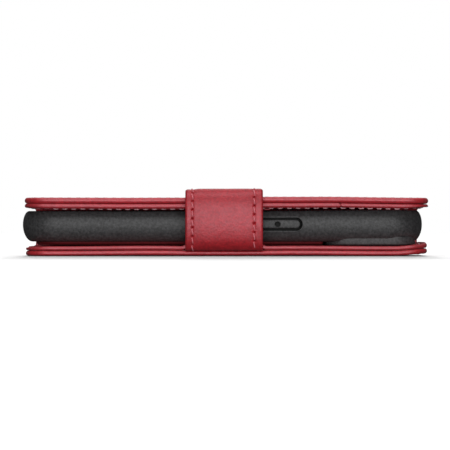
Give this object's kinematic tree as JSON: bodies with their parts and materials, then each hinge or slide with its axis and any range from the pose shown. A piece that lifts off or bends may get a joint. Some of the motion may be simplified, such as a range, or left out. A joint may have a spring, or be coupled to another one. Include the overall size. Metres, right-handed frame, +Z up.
{
  "type": "phone wallet case",
  "caption": "Leather folio with a padded magnetic strap, card pockets and a moulded shell that holds a phone",
  "frame": {"origin": "on the back cover's resting face, midway along the covers and under the centre line of the phone", "axes": "+X along the phone towards its top edge and cameras, -Y the opening side with the strap, +Y the spine, +Z up from the back cover to the front cover"},
  "size_m": [0.1385, 0.0782, 0.0231],
  "materials": {
    "outer_leather": "red grained leather with a soft satin sheen, turned edges",
    "lining_leather": "darker red lining leather, finer grain, more matt",
    "board": "grey stiffener sheet, unseen inside the leather",
    "magnet": "nickel-plated magnet",
    "steel_plate": "thin rolled steel sheet",
    "thread": "twisted sewing thread, paler than the leather",
    "moulded_shell": "near-black moulded plastic with a fine matt grain"
  },
  "bodies": {
    "back_cover": {"back_leather": "outer_leather", "back_board": "board", "back_lining": "lining_leather", "back_lining_board": "board", "back_magnets": "magnet", "back_stitching": "thread", "strap_root_tab": "outer_leather", "back_fold_leather": "outer_leather", "back_fold_lining": "lining_leather", "strap_lower_fold": "outer_leather"},
    "spine": {"spine_leather": "outer_leather", "spine_board": "board", "spine_lining": "lining_leather", "front_fold_leather": "outer_leather", "front_fold_lining": "lining_leather"},
    "front_cover": {"front_leather": "outer_leather", "front_board": "board", "front_lining": "lining_leather", "cash_pocket": "lining_leather", "card_pocket_1": "outer_leather", "card_pocket_2": "outer_leather", "card_pocket_3": "outer_leather", "catch_plate": "steel_plate", "front_stitching": "thread"},
    "strap_side": {"strap_side_leather": "outer_leather", "strap_side_lining": "lining_leather", "strap_side_filler": "board", "strap_side_stitching": "thread", "strap_upper_fold": "outer_leather"},
    "strap_tip": {"strap_tip_leather": "outer_leather", "strap_tip_lining": "lining_leather", "strap_tip_filler": "board", "strap_magnet": "magnet", "strap_tip_stitching": "thread"},
    "phone_shell": {"shell": "moulded_shell", "shell_plate": "steel_plate", "shell_leather": "outer_leather"},
    "power_key": {"power_button": "moulded_shell"},
    "volume_up_key": {"volume_up_button": "moulded_shell"},
    "volume_down_key": {"volume_down_button": "moulded_shell"}
  },
  "joints": [
    {"name": "spine_fold", "type": "hinge", "parent": "back_cover", "child": "spine", "pos_m": [0, 0.03603, 0.00157], "axis": [-1, 0, 0], "range_deg": [0, 90], "deforming": ["back_fold_leather", "back_fold_lining"]},
    {"name": "cover_fold", "type": "hinge", "parent": "spine", "child": "front_cover", "pos_m": [0, 0.03603, 0.01803], "axis": [-1, 0, 0], "range_deg": [0, 90], "deforming": ["front_fold_leather", "front_fold_lining"]},
    {"name": "strap_lower", "type": "hinge", "parent": "back_cover", "child": "strap_side", "pos_m": [-0.0008, -0.03871, 0.00319], "axis": [1, 0, 0], "range_deg": [0, 90], "deforming": ["strap_lower_fold"]},
    {"name": "strap_upper", "type": "hinge", "parent": "strap_side", "child": "strap_tip", "pos_m": [-0.0008, -0.03871, 0.02121], "axis": [1, 0, 0], "range_deg": [0, 90], "deforming": ["strap_upper_fold", "strap_tip_leather", "strap_tip_lining", "strap_tip_filler", "strap_magnet", "strap_tip_stitching"]},
    {"name": "shell_release", "type": "slide", "parent": "back_cover", "child": "phone_shell", "axis": [1, 0, 0], "range_m": [0, 0.14]},
    {"name": "power_press", "type": "slide", "parent": "phone_shell", "child": "power_key", "axis": [0, 1, 0], "range_m": [0, 0.00035], "stiffness_N_per_m": 4000},
    {"name": "volume_up_press", "type": "slide", "parent": "phone_shell", "child": "volume_up_key", "axis": [0, -1, 0], "range_m": [0, 0.00035], "stiffness_N_per_m": 4000},
    {"name": "volume_down_press", "type": "slide", "parent": "phone_shell", "child": "volume_down_key", "axis": [0, -1, 0], "range_m": [0, 0.00035], "stiffness_N_per_m": 4000}
  ]
}
